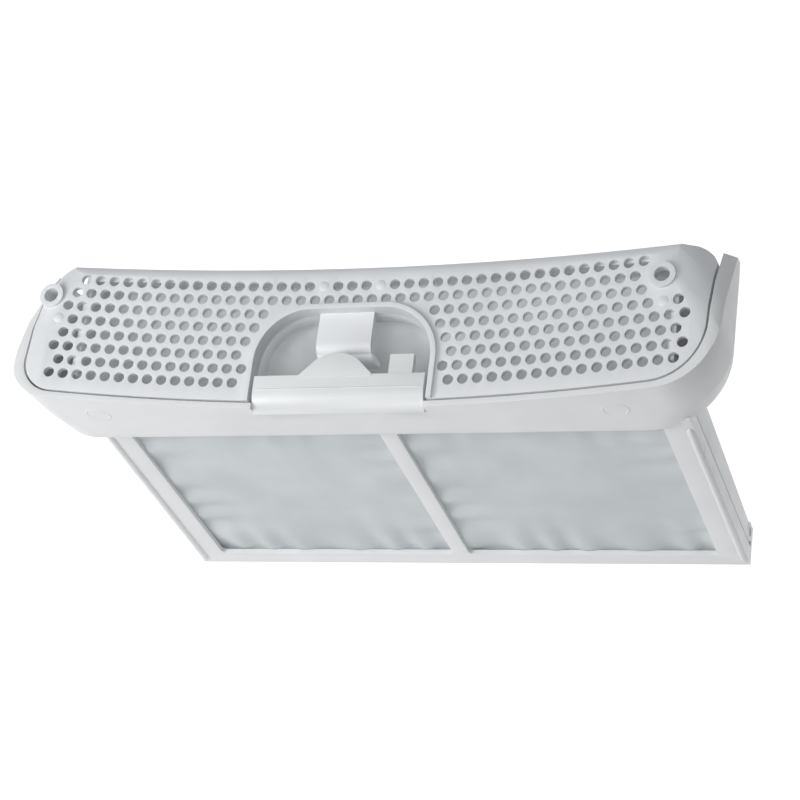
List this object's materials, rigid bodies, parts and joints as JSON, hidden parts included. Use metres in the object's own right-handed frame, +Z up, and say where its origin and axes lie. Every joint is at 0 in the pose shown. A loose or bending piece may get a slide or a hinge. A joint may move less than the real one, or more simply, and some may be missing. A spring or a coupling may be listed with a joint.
{
  "type": "tumble dryer filter",
  "caption": "Lint filter of a tumble dryer: a collared frame with a mesh pocket and a perforated handle cover, which opens like a book at a hinge along its lower edge.",
  "frame": {"origin": "middle of the filter's length, in the plane of the collar's underside", "axes": "+X along the filter, +Y to the back, +Z up through the perforated cover"},
  "size_m": [0.2664, 0.0695, 0.1431],
  "materials": {
    "white_plastic": "satin moulded plastic",
    "mesh_cloth": "fine woven mesh"
  },
  "bodies": {
    "front_half": {"front_frame": "white_plastic", "front_mesh_left": "mesh_cloth", "front_mesh_right": "mesh_cloth"},
    "rear_half": {"rear_frame": "white_plastic", "perforated_cover": "white_plastic", "rear_mesh_left": "mesh_cloth", "rear_mesh_right": "mesh_cloth"}
  },
  "joints": [
    {"name": "book_hinge", "type": "hinge", "parent": "front_half", "child": "rear_half", "pos_m": [0, -0.02831, -0.103], "axis": [-1, 0, 0], "range_deg": [0, 90]}
  ]
}
